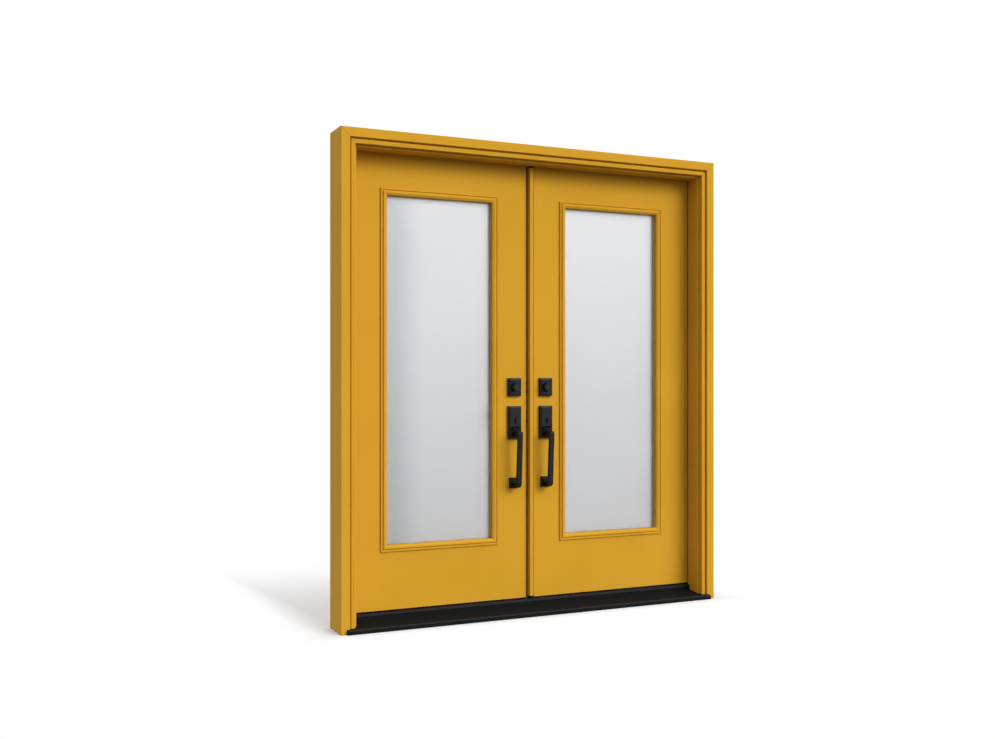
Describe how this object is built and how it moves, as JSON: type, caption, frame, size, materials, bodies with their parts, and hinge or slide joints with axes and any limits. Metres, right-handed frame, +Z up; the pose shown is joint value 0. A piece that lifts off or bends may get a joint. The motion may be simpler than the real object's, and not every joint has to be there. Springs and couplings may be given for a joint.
{
  "type": "exterior double door",
  "caption": "Inward-opening exterior double door in a mitred yellow frame: frosted full-lite leaves, astragal, black sill, deadbolts and grip handles.",
  "frame": {"origin": "middle of the sill's underside, in the plane where the casing meets the wall", "axes": "+X to the right seen from outside, +Y indoors, +Z up"},
  "size_m": [1.9, 0.23, 2.145],
  "materials": {
    "yellow_paint": "satin mustard-yellow paint on timber",
    "frosted_glass": "acid-etched, translucent",
    "black_sill": "black anodised",
    "sill_core": "dark composite",
    "black_seal": "matte",
    "black_hardware": "satin black powder coat",
    "key_plug": "blackened",
    "bolt_steel": "brushed",
    "spacer_bar": "matte"
  },
  "bodies": {
    "frame": {"left_jamb": "yellow_paint", "right_jamb": "yellow_paint", "head_jamb": "yellow_paint", "left_casing": "yellow_paint", "right_casing": "yellow_paint", "head_casing": "yellow_paint", "sill_deck": "black_sill", "sill_core": "sill_core", "threshold_cap": "black_sill", "left_weatherstrip": "black_seal", "right_weatherstrip": "black_seal", "head_weatherstrip": "black_seal", "left_hinge_jamb_plates": "black_hardware", "right_hinge_jamb_plates": "black_hardware", "left_hinge_pins": "black_hardware", "right_hinge_pins": "black_hardware"},
    "left_leaf": {"left_slab": "yellow_paint", "left_outer_lite_frame": "yellow_paint", "left_inner_lite_frame": "yellow_paint", "left_glass_panes": "frosted_glass", "left_glass_spacer": "spacer_bar", "left_sweep": "black_seal", "left_hinge_leaf_plates": "black_hardware", "meeting_seal": "black_seal", "left_deadbolt_plate": "black_hardware", "left_deadbolt_cylinder": "black_hardware", "left_handle_plate": "black_hardware", "left_grip": "black_hardware", "left_deadbolt_rose": "black_hardware", "left_lever_rose": "black_hardware", "left_lock_faceplates": "black_hardware"},
    "right_leaf": {"right_slab": "yellow_paint", "right_outer_lite_frame": "yellow_paint", "right_inner_lite_frame": "yellow_paint", "right_glass_panes": "frosted_glass", "right_glass_spacer": "spacer_bar", "right_sweep": "black_seal", "right_hinge_leaf_plates": "black_hardware", "right_deadbolt_plate": "black_hardware", "right_deadbolt_cylinder": "black_hardware", "right_key_plug": "key_plug", "right_handle_plate": "black_hardware", "right_grip": "black_hardware", "right_thumb_piece": "black_hardware", "right_deadbolt_rose": "black_hardware", "right_lever_rose": "black_hardware", "right_lever": "black_hardware", "strike_plates": "black_hardware", "astragal": "yellow_paint", "astragal_pads": "black_seal"},
    "left_key_plug": {"left_key_plug": "key_plug"},
    "left_thumbturn": {"left_thumbturn": "black_hardware"},
    "left_deadbolt": {"left_deadbolt": "bolt_steel"},
    "left_thumb_piece": {"left_thumb_piece": "black_hardware"},
    "left_lever": {"left_lever": "black_hardware"},
    "left_latch": {"left_latch": "bolt_steel"},
    "top_flush_bolt": {"top_flush_bolt": "bolt_steel"},
    "bottom_flush_bolt": {"bottom_flush_bolt": "bolt_steel"}
  },
  "joints": [
    {"name": "left_leaf_hinge", "type": "hinge", "parent": "frame", "child": "left_leaf", "pos_m": [-0.8845, 0.139, 1.122], "axis": [0, 0, 1], "range_deg": [0, 170]},
    {"name": "right_leaf_hinge", "type": "hinge", "parent": "frame", "child": "right_leaf", "pos_m": [0.8845, 0.139, 1.122], "axis": [0, 0, -1], "range_deg": [0, 170]},
    {"name": "thumbturn_turn", "type": "hinge", "parent": "left_leaf", "child": "left_thumbturn", "pos_m": [-0.088, 0.132, 1.043], "axis": [0, 1, 0], "range_deg": [0, 90]},
    {"name": "key_plug_turn", "type": "hinge", "parent": "left_leaf", "child": "left_key_plug", "pos_m": [-0.088, 0.0875, 1.043], "axis": [0, 1, 0], "range_deg": [0, 90]},
    {"name": "deadbolt_throw", "type": "slide", "parent": "left_leaf", "child": "left_deadbolt", "axis": [1, 0, 0], "range_m": [0, 0.025]},
    {"name": "lever_turn", "type": "hinge", "parent": "left_leaf", "child": "left_lever", "pos_m": [-0.088, 0.132, 0.903], "axis": [0, -1, 0], "range_deg": [0, 45], "stiffness_Nm_per_rad": 1.5, "springref_deg": -34.38},
    {"name": "thumb_press", "type": "hinge", "parent": "left_leaf", "child": "left_thumb_piece", "pos_m": [-0.088, 0.0795, 0.854], "axis": [1, 0, 0], "range_deg": [0, 12]},
    {"name": "latch_draw", "type": "slide", "parent": "left_leaf", "child": "left_latch", "axis": [-1, 0, 0], "range_m": [0, 0.007]},
    {"name": "top_flush_bolt_slide", "type": "slide", "parent": "right_leaf", "child": "top_flush_bolt", "axis": [0, 0, 1], "range_m": [0, 0.018]},
    {"name": "bottom_flush_bolt_slide", "type": "slide", "parent": "right_leaf", "child": "bottom_flush_bolt", "axis": [0, 0, -1], "range_m": [0, 0.018]}
  ],
  "couplings": [
    {"joint": "key_plug_turn", "follows": "thumbturn_turn", "ratio": 1},
    {"joint": "deadbolt_throw", "follows": "thumbturn_turn", "m_per_rad": 0.0159},
    {"joint": "thumb_press", "follows": "lever_turn", "ratio": 0.2666},
    {"joint": "latch_draw", "follows": "lever_turn", "m_per_rad": 0.0089}
  ]
}
